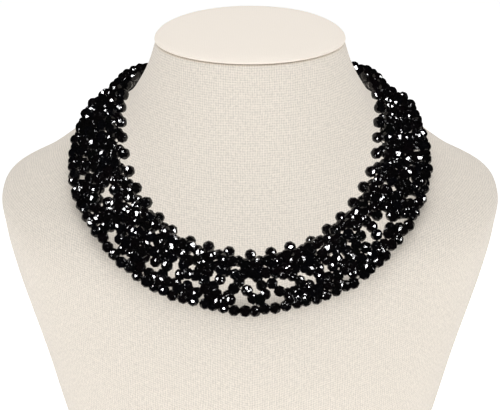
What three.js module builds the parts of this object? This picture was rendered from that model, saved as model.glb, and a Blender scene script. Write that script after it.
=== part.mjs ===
import * as THREE from 'three';

// A beaded choker necklace lying round a linen covered neck bust.
// The frame is in millimetres with +Z up. The bust stands on z = 0, its neck rises round the Z axis
// and its chest faces -Y. Angles go round the neck from the front, positive towards +X.

// Bust, driving sizes
const SEAM_HEIGHT = 251; // from the base to the front of the seam at the top of the neck
const SEAM_TILT = 5.5; // degrees that the seam rises towards the back
const SHOULDER_DROP = 76; // from the seam down to the widest section
const NECK_WIDTH = 103.5;
const NECK_FRONT = 46; // reach of the neck in front of the axis
const NECK_BACK = 58;
const SHOULDER_WIDTH = 273;
const CHEST_REACH = 90;
const BACK_REACH = 69.5;
const BASE_WIDTH = 174;
const BASE_FRONT = 75;
const BASE_BACK = 49;
const BASE_CHAMFER = 3;
const SHOULDER_RISE = 16; // height of the ridge where the back of the neck meets the shoulders
const CAP_HEIGHT = 6; // padded disc on top of the neck
const CAP_OVERHANG = 0.6;

// Necklace, driving sizes
const BEAD_DIAMETER = 6;
const BAND_WIDTH = 33.5; // full width from the inner to the outer edge string
const PICOT_PITCH = 10.8; // between two picots of the inner edge
const PICOT_DEPTH = 3.2; // how far the link beads between them lie behind the picots
const OUTER_PITCH = 5.4; // between two beads of the outer edge
const COLUMN_PITCH = 12.6; // between two legs of the weave, measured along the inner edge
const THREAD_WAIST = 2.4; // diameter of the narrow place between two beads of a string
const BAND_THICKNESS = 7.6; // two layers of beads, pressed into each other
const CLASP_LENGTH = 26;
const CLASP_THICKNESS = 4.4;
const CLASP_MARGIN = 2.5; // how far the clasp stays inside the band's edges
const CLASP_CORNER = 4;

// Clearances
const LIE_GAP = 0.9; // between the bust and what lies on it
const PART_GAP = 0.4; // between two neighbouring pieces
const STRING_GAP = 0.85; // between the woven band and the edge strings, which aren't quite parallel

// Mesh fineness
const RING_SIDES = 52;
const CAP_SIDES = 36;
const BEAD_SIDES = 10;
const NECK_STEPS = 2; // rings between two sections, neck to shoulders
const BODY_STEPS = 2;
const ROUTE_SAMPLES = 600;
const EDGE_SAMPLES = 400;
const TANGENT_SHARE = 0.03; // length over which the edge's direction is taken
const WALK_STEP = 3;

// Sections from the neck seam to the widest place. All columns but power are shares: drop of the
// shoulder drop, width, front and back of the way from the neck's size to the shoulders', rise of
// the shoulder rise, lean of the seam's tilt. tilt is the fall towards the front, power the roundness
// of the outline.
const NECK_SECTIONS = [
  { drop: 0.0, width: 0.0, front: 0.0, back: 0.0, tilt: 0.0, rise: 0.0, lean: 1.0, power: 2.0 },
  { drop: 0.15, width: 0.05, front: 0.034, back: 0.09, tilt: 0.06, rise: 0.13, lean: 0.55, power: 2.0 },
  { drop: 0.317, width: 0.128, front: 0.09, back: 0.26, tilt: 0.15, rise: 0.38, lean: 0.2, power: 2.0 },
  { drop: 0.483, width: 0.23, front: 0.16, back: 0.44, tilt: 0.23, rise: 0.64, lean: 0.0, power: 2.0 },
  { drop: 0.617, width: 0.393, front: 0.25, back: 0.61, tilt: 0.28, rise: 0.78, lean: 0.0, power: 2.0 },
  { drop: 0.75, width: 0.555, front: 0.36, back: 0.78, tilt: 0.28, rise: 0.8, lean: 0.0, power: 2.1 },
  { drop: 0.873, width: 0.78, front: 0.48, back: 0.95, tilt: 0.25, rise: 0.6, lean: 0.0, power: 2.0 },
  { drop: 1.0, width: 1.0, front: 0.6, back: 1.0, tilt: 0.2, rise: 0.4, lean: 0.0, power: 2.35 },
];

// Sections from the widest place to the base. drop is a share of the height that is left, and
// width, front and back are shares of the way from the base's size to the shoulders'.
const BODY_SECTIONS = [
  { drop: 0.086, width: 0.98, front: 0.33, back: 1.0, tilt: 0.14, rise: 0.28, lean: 0.0, power: 2.7 },
  { drop: 0.257, width: 0.85, front: 0.87, back: 0.83, tilt: 0.08, rise: 0.19, lean: 0.0, power: 2.4 },
  { drop: 0.514, width: 0.57, front: 1.0, back: 0.59, tilt: 0.04, rise: 0.09, lean: 0.0, power: 2.3 },
  { drop: 0.771, width: 0.31, front: 0.6, back: 0.29, tilt: 0.01, rise: 0.03, lean: 0.0, power: 2.3 },
  { drop: 1.0, width: 0.0, front: 0.0, back: 0.0, tilt: 0.0, rise: 0.0, lean: 0.0, power: 2.3 },
];
const RIDGE_TURN = 2.6; // radians of the sine that lifts the ridge, from the axis to the back

// Route of the necklace, the same on both sides: how far down the bust from the neck seam its inner
// edge lies at each angle, in mm, and the share of its full width that it has there.
const COLLAR_ROUTE = [
  { angle: 0, distance: 102.7, width: 0.825 },
  { angle: 8, distance: 102.0, width: 0.845 },
  { angle: 14, distance: 99.1, width: 0.86 },
  { angle: 20, distance: 93.2, width: 0.895 },
  { angle: 30, distance: 83.1, width: 0.95 },
  { angle: 45, distance: 69.4, width: 0.95 },
  { angle: 60, distance: 55.4, width: 0.96 },
  { angle: 75, distance: 44.0, width: 0.965 },
  { angle: 90, distance: 37.1, width: 0.92 },
  { angle: 110, distance: 32.7, width: 0.8 },
  { angle: 135, distance: 31.1, width: 0.74 },
  { angle: 180, distance: 29.9, width: 0.7 },
];

// One column of the woven band, from the middle of one opening to the middle of the next, with the
// leg between them and the two halves of the posts that reach the outer edge. across is a share of
// the band between its two edge strings, height a share of the thickness.
const WEAVE_COLUMN = [
  { phase: 0.0, across: 0.0, height: 0.9 },
  { phase: 0.5, across: 0.0, height: 0.9 },
  { phase: 1.0, across: 0.0, height: 0.9 },
  { phase: 1.0, across: 0.27, height: 1.0 },
  { phase: 0.72, across: 0.25, height: 1.0 },
  { phase: 0.66, across: 0.6, height: 0.84 },
  { phase: 1.0, across: 0.8, height: 0.8 },
  { phase: 1.0, across: 1.0, height: 0.78 },
  { phase: 0.84, across: 1.0, height: 0.78 },
  { phase: 0.78, across: 0.94, height: 0.8 },
  { phase: 0.5, across: 0.76, height: 0.8 },
  { phase: 0.22, across: 0.94, height: 0.8 },
  { phase: 0.16, across: 1.0, height: 0.78 },
  { phase: 0.0, across: 1.0, height: 0.78 },
  { phase: 0.0, across: 0.8, height: 0.8 },
  { phase: 0.34, across: 0.6, height: 0.84 },
  { phase: 0.28, across: 0.25, height: 1.0 },
  { phase: 0.0, across: 0.27, height: 1.0 },
];

const BEAD_RADIUS = BEAD_DIAMETER / 2;
const BODY_HEIGHT = SEAM_HEIGHT - SHOULDER_DROP;

const mix = (a, b, share) => a + (b - a) * share;
const radians = THREE.MathUtils.degToRad;
const SEAM_SLOPE = Math.tan(radians(SEAM_TILT));

// Real sizes of one section, from its shares
function sectionSizes(row, end, height) {
  return [
    height,
    mix(end.width, SHOULDER_WIDTH, row.width) / 2,
    mix(end.front, CHEST_REACH, row.front),
    mix(end.back, BACK_REACH, row.back),
    row.tilt,
    row.rise * SHOULDER_RISE,
    row.power,
    row.lean * SEAM_SLOPE,
  ];
}

const neckEnd = { width: NECK_WIDTH, front: NECK_FRONT, back: NECK_BACK };
const baseEnd = { width: BASE_WIDTH, front: BASE_FRONT, back: BASE_BACK };
const sections = [
  ...NECK_SECTIONS.map((row) =>
    sectionSizes(row, neckEnd, SEAM_HEIGHT - row.drop * SHOULDER_DROP)),
  ...BODY_SECTIONS.map((row) =>
    sectionSizes(row, baseEnd, BODY_HEIGHT * (1 - row.drop))),
];
const LAST_SECTION = sections.length - 1;

// Catmull-Rom value between sections; the ends continue straight on
function sectionAt(station) {
  const t = THREE.MathUtils.clamp(station, 0, LAST_SECTION - 1e-9);
  const i = Math.floor(t);
  const f = t - i;
  const before = sections[i - 1];
  const after = sections[i + 2];
  return sections[i].map((b, column) => {
    const c = sections[i + 1][column];
    const a = before ? before[column] : 2 * b - c;
    const d = after ? after[column] : 2 * c - b;
    return 0.5 * (2 * b + (c - a) * f + (2 * a - 5 * b + 4 * c - d) * f * f
      + (3 * b - a - 3 * c + d) * f * f * f);
  });
}

// Point of the bust's skin: a rounded outline whose front tilts down and whose back rises to a
// ridge; near the seam the whole outline leans up towards the back
function bustPoint(angle, station) {
  const [height, half, front, back, tilt, rise, power, lean] = sectionAt(station);
  const side = Math.sin(angle);
  const ahead = Math.cos(angle);
  const x = half * Math.sign(side) * Math.abs(side) ** (2 / power);
  const reach = Math.abs(ahead) ** (2 / power);
  const y = ahead > 0 ? -front * reach : back * reach;
  const lift = ahead > 0 ? tilt * y : rise * Math.sin(RIDGE_TURN * reach);
  return new THREE.Vector3(x, y, height + lift + lean * (y + front));
}

function bustNormal(angle, station) {
  const step = 1e-3;
  const low = Math.max(station - step, 0);
  const along = bustPoint(angle + step, station).sub(bustPoint(angle - step, station));
  const down = bustPoint(angle, station + step).sub(bustPoint(angle, low));
  return down.cross(along).normalize();
}

// Station that lies the given distance down the bust from the neck seam
function stationAt(angle, distance) {
  const step = 0.02;
  let walked = 0;
  let last = bustPoint(angle, 0);
  for (let station = step; station < LAST_SECTION; station += step) {
    const next = bustPoint(angle, station);
    const stride = next.distanceTo(last);
    if (walked + stride >= distance) return station - step + (step * (distance - walked)) / stride;
    walked += stride;
    last = next;
  }
  return LAST_SECTION;
}

// Closed surface through rings of points with the same count, its two ends closed by flat fans
function loft(rings) {
  const sides = rings[0].length;
  const points = rings.flat();
  const faces = [];
  for (let r = 0; r + 1 < rings.length; r++) {
    for (let k = 0; k < sides; k++) {
      const a = r * sides + k;
      const b = r * sides + ((k + 1) % sides);
      faces.push([a, b, b + sides], [a, b + sides, a + sides]);
    }
  }
  for (const [ring, flip] of [[0, true], [rings.length - 1, false]]) {
    const middle = points.length;
    const centre = new THREE.Vector3();
    rings[ring].forEach((point) => centre.addScaledVector(point, 1 / sides));
    points.push(centre);
    for (let k = 0; k < sides; k++) {
      const a = ring * sides + k;
      const b = ring * sides + ((k + 1) % sides);
      faces.push(flip ? [b, a, middle] : [a, b, middle]);
    }
  }
  return surface(points, faces);
}

// Indexed geometry from points and faces, turned so that its faces point out
function surface(points, faces) {
  const volume = faces.reduce((sum, [a, b, c]) =>
    sum + points[a].dot(new THREE.Vector3().crossVectors(points[b], points[c])), 0);
  const outward = volume > 0 ? faces : faces.map(([a, b, c]) => [a, c, b]);
  const geometry = new THREE.BufferGeometry();
  geometry.setAttribute('position',
    new THREE.Float32BufferAttribute(points.flatMap((p) => p.toArray()), 3));
  geometry.setIndex(outward.flat());
  geometry.computeVertexNormals();
  return geometry;
}

// Angles of one ring, closer together at the front, sides and back, where the outline is flattest
const RING_CROWDING = 0.12;
function ringAngles(sides) {
  return Array.from({ length: sides }, (_, k) => {
    const turn = (2 * Math.PI * k) / sides;
    return turn - RING_CROWDING * Math.sin(4 * turn);
  });
}

function bustBody() {
  const stations = [];
  for (let i = 0; i < LAST_SECTION; i++) {
    const steps = i < NECK_SECTIONS.length - 1 ? NECK_STEPS : BODY_STEPS;
    for (let k = 0; k < steps; k++) stations.push(i + k / steps);
  }
  const angles = ringAngles(RING_SIDES);
  const rings = stations.map((station) => angles.map((angle) => bustPoint(angle, station)));
  const base = angles.map((angle) => bustPoint(angle, LAST_SECTION));
  rings.push(base.map((p) => p.clone().setZ(BASE_CHAMFER)));
  rings.push(base.map((p) => {
    const inward = 1 - BASE_CHAMFER / Math.hypot(p.x, p.y);
    return new THREE.Vector3(p.x * inward, p.y * inward, 0);
  }));
  return loft(rings);
}

// Padded disc that covers the top of the neck: full at its rim, gently crowned in the middle
function neckCap() {
  const angles = ringAngles(CAP_SIDES);
  const rim = angles.map((angle) => bustPoint(angle, 0));
  const profile = [
    { reach: 0.96, height: 0.0 },
    { reach: 1.0, height: 0.2 },
    { reach: 0.985, height: 0.4 },
    { reach: 0.92, height: 0.64 },
    { reach: 0.78, height: 0.83 },
    { reach: 0.5, height: 0.96 },
  ];
  const rings = profile.map(({ reach, height }) => rim.map((p) => {
    const size = Math.hypot(p.x, p.y);
    const scale = (reach * (size + CAP_OVERHANG)) / size;
    const y = p.y * scale;
    const seam = SEAM_HEIGHT + SEAM_SLOPE * (y + NECK_FRONT);
    return new THREE.Vector3(p.x * scale, y, seam + PART_GAP + height * CAP_HEIGHT);
  }));
  return loft(rings);
}

// Spot of the skin nearest to a point, found from a spot close by
function settle(point, spot) {
  let { angle, station } = spot;
  const step = 1e-3;
  for (let round = 0; round < 6; round++) {
    const miss = point.clone().sub(bustPoint(angle, station));
    const around = bustPoint(angle + step, station).sub(bustPoint(angle - step, station));
    const down = bustPoint(angle, station + step).sub(bustPoint(angle, station - step));
    around.divideScalar(2 * step);
    down.divideScalar(2 * step);
    const aa = around.lengthSq();
    const ad = around.dot(down);
    const dd = down.lengthSq();
    const det = aa * dd - ad * ad;
    angle += (dd * miss.dot(around) - ad * miss.dot(down)) / det;
    station += (aa * miss.dot(down) - ad * miss.dot(around)) / det;
  }
  return { angle, station };
}

// Smooth inner edge of the necklace, from the back round the front to the back again
const mirrored = COLLAR_ROUTE.slice(1).reverse().map((row) => ({ ...row, angle: -row.angle }));
const wholeRoute = [...mirrored, ...COLLAR_ROUTE];
const routeCurve = new THREE.CatmullRomCurve3(
  wholeRoute.map((row) => new THREE.Vector3(row.angle, row.distance, row.width)), false, 'centripetal');

// Samples of the inner edge with the length walked along it on the bust
const edgeSamples = routeCurve.getPoints(ROUTE_SAMPLES).map((spot) => {
  const angle = radians(spot.x);
  const station = stationAt(angle, spot.y);
  const width = spot.z * BAND_WIDTH;
  return { angle, station, width, point: bustPoint(angle, station), length: 0 };
});
edgeSamples.slice(1).forEach((sample, k) => {
  sample.length = edgeSamples[k].length + sample.point.distanceTo(edgeSamples[k].point);
});
const innerLength = edgeSamples.at(-1).length;

// Spot of the inner edge at a share of its length; the back middle is 0 and 1
function edgeSpot(share) {
  const turns = Math.floor(share);
  const target = (share - turns) * innerLength;
  const k = Math.max(edgeSamples.findIndex((sample) => sample.length >= target), 1);
  const a = edgeSamples[k - 1];
  const b = edgeSamples[k];
  const f = (target - a.length) / (b.length - a.length);
  return {
    angle: mix(a.angle, b.angle, f),
    station: mix(a.station, b.station, f),
    width: mix(a.width, b.width, f),
  };
}

// Place on the necklace: share is along the inner edge, across is mm walked square to that edge
// over the bust's skin, and height is mm above the skin
function collarSpot(share, across, height) {
  let spot = edgeSpot(share);
  const behind = edgeSpot(share - TANGENT_SHARE);
  const ahead = edgeSpot(share + TANGENT_SHARE);
  const along = bustPoint(ahead.angle, ahead.station).sub(bustPoint(behind.angle, behind.station));
  let normal = bustNormal(spot.angle, spot.station);
  const heading = along.cross(normal).normalize();
  const steps = Math.ceil(across / WALK_STEP);
  let point = bustPoint(spot.angle, spot.station);
  for (let k = 0; k < steps; k++) {
    spot = settle(point.clone().addScaledVector(heading, across / steps), spot);
    point = bustPoint(spot.angle, spot.station);
    normal = bustNormal(spot.angle, spot.station);
    heading.addScaledVector(normal, -heading.dot(normal)).normalize();
  }
  return { point: point.addScaledVector(normal, height), normal };
}

// The weave leaves room for the clasp at the back, with whole numbers of columns and of picots
const WOVEN_LENGTH = innerLength - CLASP_LENGTH;
const COLUMNS = Math.round(WOVEN_LENGTH / COLUMN_PITCH);
const PICOTS = Math.round(WOVEN_LENGTH / PICOT_PITCH);
const wovenShare = (part) => (CLASP_LENGTH / 2 + part * WOVEN_LENGTH) / innerLength;

// String of beads as one lofted body: full at each bead's middle, narrow between two beads
function beadString(spots) {
  const centres = spots.map(({ share, across }) =>
    collarSpot(share, across, LIE_GAP + BEAD_RADIUS));
  const stops = [];
  centres.forEach((spot, k) => {
    stops.push({ ...spot, radius: BEAD_RADIUS });
    if (k + 1 === centres.length) return;
    const next = centres[k + 1];
    stops.push({
      point: spot.point.clone().lerp(next.point, 0.5),
      normal: spot.normal.clone().lerp(next.normal, 0.5).normalize(),
      radius: THREAD_WAIST / 2,
    });
  });
  const first = stops[1].point.clone().sub(stops[0].point);
  const last = stops.at(-1).point.clone().sub(stops.at(-2).point);
  stops.unshift({ ...stops[0], point: stops[0].point.clone().sub(first), radius: THREAD_WAIST / 2 });
  stops.push({ ...stops.at(-1), point: stops.at(-1).point.clone().add(last), radius: THREAD_WAIST / 2 });
  const rings = stops.map(({ point, normal, radius }, k) => {
    const from = stops[Math.max(k - 1, 0)].point;
    const to = stops[Math.min(k + 1, stops.length - 1)].point;
    const along = to.clone().sub(from).normalize();
    const side = along.clone().cross(normal).normalize();
    const up = side.clone().cross(along);
    return Array.from({ length: BEAD_SIDES }, (_, s) => {
      const turn = (2 * Math.PI * s) / BEAD_SIDES;
      return point.clone()
        .addScaledVector(side, radius * Math.cos(turn))
        .addScaledVector(up, radius * Math.sin(turn));
    });
  });
  return loft(rings);
}

// Inner edge: picot beads on the edge line, each pair linked by a bead that lies a little behind
function innerEdge() {
  const spots = [];
  for (let k = 1; k < 2 * PICOTS; k++) {
    spots.push({ share: wovenShare(k / (2 * PICOTS)), across: k % 2 ? PICOT_DEPTH : 0 });
  }
  return beadString(spots);
}

// Outer edge: beads at an even pitch along the edge line, which is longer than the inner one
function outerEdge() {
  const samples = Array.from({ length: EDGE_SAMPLES + 1 }, (_, k) => {
    const share = wovenShare(k / EDGE_SAMPLES);
    return { share, point: collarSpot(share, edgeSpot(share).width, LIE_GAP + BEAD_RADIUS).point };
  });
  const lengths = [0];
  samples.slice(1).forEach(({ point }, k) => {
    lengths.push(lengths[k] + point.distanceTo(samples[k].point));
  });
  const beads = Math.round(lengths.at(-1) / OUTER_PITCH);
  const spots = Array.from({ length: beads }, (_, k) => {
    const target = (lengths.at(-1) * (k + 0.5)) / beads;
    const next = lengths.findIndex((length) => length >= target);
    const f = (target - lengths[next - 1]) / (lengths[next] - lengths[next - 1]);
    const share = mix(samples[next - 1].share, samples[next].share, f);
    return { share, across: edgeSpot(share).width };
  });
  return beadString(spots);
}

// Woven band as one plate on the bust, cut through between its legs. It starts behind the link
// beads of the inner edge, and its posts end just short of the outer string.
function wovenBand() {
  const reach = BEAD_RADIUS + STRING_GAP;
  const columnFaces = THREE.ShapeUtils.triangulateShape(
    WEAVE_COLUMN.map(({ phase, across }) => new THREE.Vector2(phase, across)), []);
  const points = [];
  const byKey = new Map();
  const cornerOf = (column, { phase, across, height }) => {
    const key = `${(column + phase).toFixed(4)} ${across.toFixed(4)}`;
    if (!byKey.has(key)) {
      const share = wovenShare((column + phase) / COLUMNS);
      const place = mix(PICOT_DEPTH + reach, edgeSpot(share).width - reach, across);
      byKey.set(key, points.length);
      points.push(collarSpot(share, place, LIE_GAP).point);
      points.push(collarSpot(share, place, LIE_GAP + height * BAND_THICKNESS).point);
    }
    return byKey.get(key);
  };
  const faces = [];
  const edges = new Map();
  for (let column = 0; column < COLUMNS; column++) {
    const corners = WEAVE_COLUMN.map((corner) => cornerOf(column, corner));
    for (const face of columnFaces) {
      const [a, b, c] = face.map((k) => corners[k]);
      faces.push([a, b, c], [a + 1, c + 1, b + 1]);
      for (const [from, to] of [[a, b], [b, c], [c, a]]) {
        if (!edges.delete(`${to} ${from}`)) edges.set(`${from} ${to}`, [from, to]);
      }
    }
  }
  for (const [from, to] of edges.values()) {
    faces.push([to, from, from + 1], [to, from + 1, to + 1]);
  }
  return surface(points, faces);
}

// Clasp at the back: one plain plate with cut corners that follows the bust
function clasp() {
  const half = CLASP_LENGTH / 2 - PART_GAP;
  const steps = 6;
  const rings = [];
  for (let k = 0; k <= steps; k++) {
    const along = mix(-half, half, k / steps);
    const share = along / innerLength;
    const cut = k === 0 || k === steps ? CLASP_CORNER : 0;
    const near = CLASP_MARGIN + cut;
    const far = edgeSpot(share).width - CLASP_MARGIN - cut;
    const middle = (near + far) / 2;
    const top = LIE_GAP + CLASP_THICKNESS;
    rings.push([
      collarSpot(share, near, LIE_GAP).point,
      collarSpot(share, middle, LIE_GAP).point,
      collarSpot(share, far, LIE_GAP).point,
      collarSpot(share, far, top).point,
      collarSpot(share, middle, top).point,
      collarSpot(share, near, top).point,
    ]);
  }
  return loft(rings);
}

const linen = new THREE.MeshStandardMaterial({ color: 0xe8e0d5, roughness: 0.95, metalness: 0 });
const jet = new THREE.MeshStandardMaterial({ color: 0x0a0a0b, roughness: 0.12, metalness: 0 });
const blackMetal = new THREE.MeshStandardMaterial({ color: 0x2a2a2c, roughness: 0.35, metalness: 1 });

function piece(name, geometry, material) {
  const mesh = new THREE.Mesh(geometry, material);
  mesh.name = name;
  return mesh;
}

const bust = new THREE.Group();
bust.add(piece('bust_body', bustBody(), linen));
bust.add(piece('neck_cap', neckCap(), linen));

const necklace = new THREE.Group();
necklace.add(piece('inner_edge_beads', innerEdge(), jet));
necklace.add(piece('woven_band', wovenBand(), jet));
necklace.add(piece('outer_edge_beads', outerEdge(), jet));
necklace.add(piece('clasp', clasp(), blackMetal));

const model = new THREE.Group();
model.add(bust, necklace);

export default model;
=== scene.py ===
"""A beaded choker necklace on a linen covered neck bust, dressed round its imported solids.

The frame is in metres with +Z up: the bust stands on z = 0, its chest faces -Y, and angles go
round the neck from the front, positive towards +X. The tables below are in millimetres, with the
same values as the part's source, and each mesh is brought to metres when it is made.
"""

import bpy
import numpy as np
from bpy.props import FloatProperty, FloatVectorProperty, IntProperty, PointerProperty
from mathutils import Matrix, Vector


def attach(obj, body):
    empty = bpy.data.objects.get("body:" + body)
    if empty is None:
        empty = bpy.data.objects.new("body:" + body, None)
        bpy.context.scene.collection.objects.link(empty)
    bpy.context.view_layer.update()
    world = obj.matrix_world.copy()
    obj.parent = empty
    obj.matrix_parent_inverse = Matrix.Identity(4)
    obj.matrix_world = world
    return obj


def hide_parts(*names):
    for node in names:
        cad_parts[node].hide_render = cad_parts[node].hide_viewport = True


bl_info = {
    "name": "Bead Collar on a Neck Bust",
    "version": (1, 0, 0),
    "blender": (4, 5, 0),
    "location": "3D View > Sidebar > Bead Collar",
    "description": "Linen cover, padded cap, faceted beads, thread and studio for a woven collar",
    "category": "Object",
}

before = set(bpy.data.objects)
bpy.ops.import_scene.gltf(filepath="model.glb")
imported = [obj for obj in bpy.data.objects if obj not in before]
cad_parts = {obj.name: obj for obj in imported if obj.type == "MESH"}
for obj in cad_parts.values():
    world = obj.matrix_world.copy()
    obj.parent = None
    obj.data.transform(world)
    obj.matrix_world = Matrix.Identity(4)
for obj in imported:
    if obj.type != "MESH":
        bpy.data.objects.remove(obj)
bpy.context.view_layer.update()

MM = 0.001
BODY = "root"

# Bust, in mm, as in the part's source
SEAM_HEIGHT = 251.0
SHOULDER_DROP = 76.0
SEAM_SLOPE = 0.0963  # rise of the seam towards the back
NECK_END = (103.5, 46.0, 58.0)
SHOULDERS = (273.0, 90.0, 69.5)
BASE_END = (174.0, 75.0, 49.0)
SHOULDER_RISE = 16.0
RIDGE_TURN = 2.6
CAP_HEIGHT = 6.0
CAP_OVERHANG = 0.6
CAP_GAP = 0.4
COVER_COLUMNS = 240
COVER_ROWS = 190
# Inset and drop in mm of the rows of the rounded edge under the cap, from the middle outwards
COVER_FOLD = ((3.0, 0.0), (0.9, 0.0), (0.35, 0.12), (0.08, 0.45))
# Inset and height in mm of the rows of the turned edge at the base, from the outside inwards
COVER_TURN = ((0.0, 3.0), (0.25, 1.6), (0.9, 0.6), (3.0, 0.0))
CAP_COLUMNS = 160
# Shares of the neck's outline and of the cap's height, from the pad's underside to its middle
CAP_PROFILE = (
    (0.900, 0.00), (0.955, 0.00), (0.984, 0.035), (0.997, 0.11), (1.0, 0.2), (0.997, 0.3),
    (0.985, 0.41), (0.96, 0.53), (0.92, 0.64), (0.86, 0.745), (0.78, 0.83), (0.65, 0.905),
    (0.5, 0.955), (0.3, 0.985), (0.12, 0.998), (0.03, 1.0),
)
CAP_STEPS = 46
# Unevenness of the padding: waves round the cap, their start in radians, their height in mm
CAP_WAVES = ((3, 0.4, 0.10), (5, 2.0, 0.07), (8, 0.0, 0.05))
# Cloth coordinates of the hidden middles above and below the cover, beyond the cloth's ends
COVER_MIDDLES = ((0.0, 60.0), (0.0, -400.0))

# drop, width, front, back, tilt, rise, power, lean
NECK_SECTIONS = (
    (0.000, 0.000, 0.000, 0.00, 0.00, 0.00, 2.00, 1.00),
    (0.150, 0.050, 0.034, 0.09, 0.06, 0.13, 2.00, 0.55),
    (0.317, 0.128, 0.090, 0.26, 0.15, 0.38, 2.00, 0.20),
    (0.483, 0.230, 0.160, 0.44, 0.23, 0.64, 2.00, 0.00),
    (0.617, 0.393, 0.250, 0.61, 0.28, 0.78, 2.00, 0.00),
    (0.750, 0.555, 0.360, 0.78, 0.28, 0.80, 2.10, 0.00),
    (0.873, 0.780, 0.480, 0.95, 0.25, 0.60, 2.00, 0.00),
    (1.000, 1.000, 0.600, 1.00, 0.20, 0.40, 2.35, 0.00),
)
BODY_SECTIONS = (
    (0.086, 0.98, 0.33, 1.00, 0.14, 0.28, 2.7, 0.0),
    (0.257, 0.85, 0.87, 0.83, 0.08, 0.19, 2.4, 0.0),
    (0.514, 0.57, 1.00, 0.59, 0.04, 0.09, 2.3, 0.0),
    (0.771, 0.31, 0.60, 0.29, 0.01, 0.03, 2.3, 0.0),
    (1.000, 0.00, 0.00, 0.00, 0.00, 0.00, 2.3, 0.0),
)

# Necklace, in mm: angle in degrees, distance down the bust from the seam, share of the full width
COLLAR_ROUTE = (
    (0, 102.7, 0.825),
    (8, 102.0, 0.845),
    (14, 99.1, 0.86),
    (20, 93.2, 0.895),
    (30, 83.1, 0.95),
    (45, 69.4, 0.95),
    (60, 55.4, 0.96),
    (75, 44.0, 0.965),
    (90, 37.1, 0.92),
    (110, 32.7, 0.80),
    (135, 31.1, 0.74),
    (180, 29.9, 0.70),
)
BAND_WIDTH = 33.5
CLASP_LENGTH = 26.0
PICOT_PITCH = 10.8
COLUMN_PITCH = 12.6
OUTER_PITCH = 5.4
LIE_GAP = 0.9
CLASP_THICKNESS = 4.4
END_ROOM = 4.0  # between a row's last bead and the end of the woven length
ROUTE_SAMPLES = 600
ROW_SAMPLES = 400
STATION_STEP = 0.02
TANGENT_SHARE = 0.03
WALK_STEPS = 14
SETTLE_ROUNDS = 4
PROBE = 1e-3  # step in angle and station over which a slope is measured

# Rows of beads: phase within a pitch, way across the band in mm where it is FRONT_WIDTH wide, and
# how far above the lowest layer. Each row is evenly spaced along its own length.
FRONT_WIDTH = 28.1
PICOT_ROWS = (
    (0.50, 3.0, 0.2),
    (0.00, 5.6, 0.0),
    (0.50, 8.2, 0.0),
    (0.00, 10.8, 0.2),
    (0.25, 4.4, 3.9),
    (0.75, 4.4, 3.9),
    (0.05, 7.0, 4.6),
    (0.25, 9.6, 3.6),
    (0.72, 9.4, 3.6),
    (0.50, 10.8, 1.8),
)
LATTICE_PITCH = 6.9  # of the rows below, measured along the inner edge
LATTICE_ROWS = (
    (0.25, 13.4, 0.2),
    (0.75, 16.2, 1.4),
    (0.25, 19.0, 0.2),
    (0.75, 21.8, 1.4),
    (0.25, 24.7, 0.2),
)
TOP_ROWS = (
    (0.75, 12.4, 3.9),
    (0.25, 15.0, 4.3),
    (0.75, 18.2, 4.0),
    (0.25, 21.0, 4.2),
    (0.75, 24.0, 3.6),
)
TOP_SHARE = 0.85  # of the top rows' beads that are there
TOP_END = 150.0  # where the top rows end on each side of the front middle, in mm
CROWDED = 3.3  # two beads nearer than this count as one
PICOT_LIFT = 0.4  # how far the picots lie above the lowest layer
ZIGZAG = (0.5, 1.5)  # how far every second outer bead lies inwards and up
ZIGZAG_TURN = 0.5  # turn of the outer beads in radians, to one side and the other
EDGE_START = 0.01  # a row on the inner edge lies this far across, so its walk has a heading

# Beads that close the weave beside the clasp: way across the band, all this far from its end
END_ACROSS = (1.5, 8.0, 14.5, 21.0, 27.5)
END_BEAD_ROOM = 2.9
END_LIFT = 0.5
# Where the thread meets the clasp: parts of the woven length, just inside the clasp's two ends,
# and shares of the band's width
CLASP_ENDS = (-0.003, 1.003)
CLASP_ANCHORS = (0.2, 0.4, 0.6, 0.8)

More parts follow.
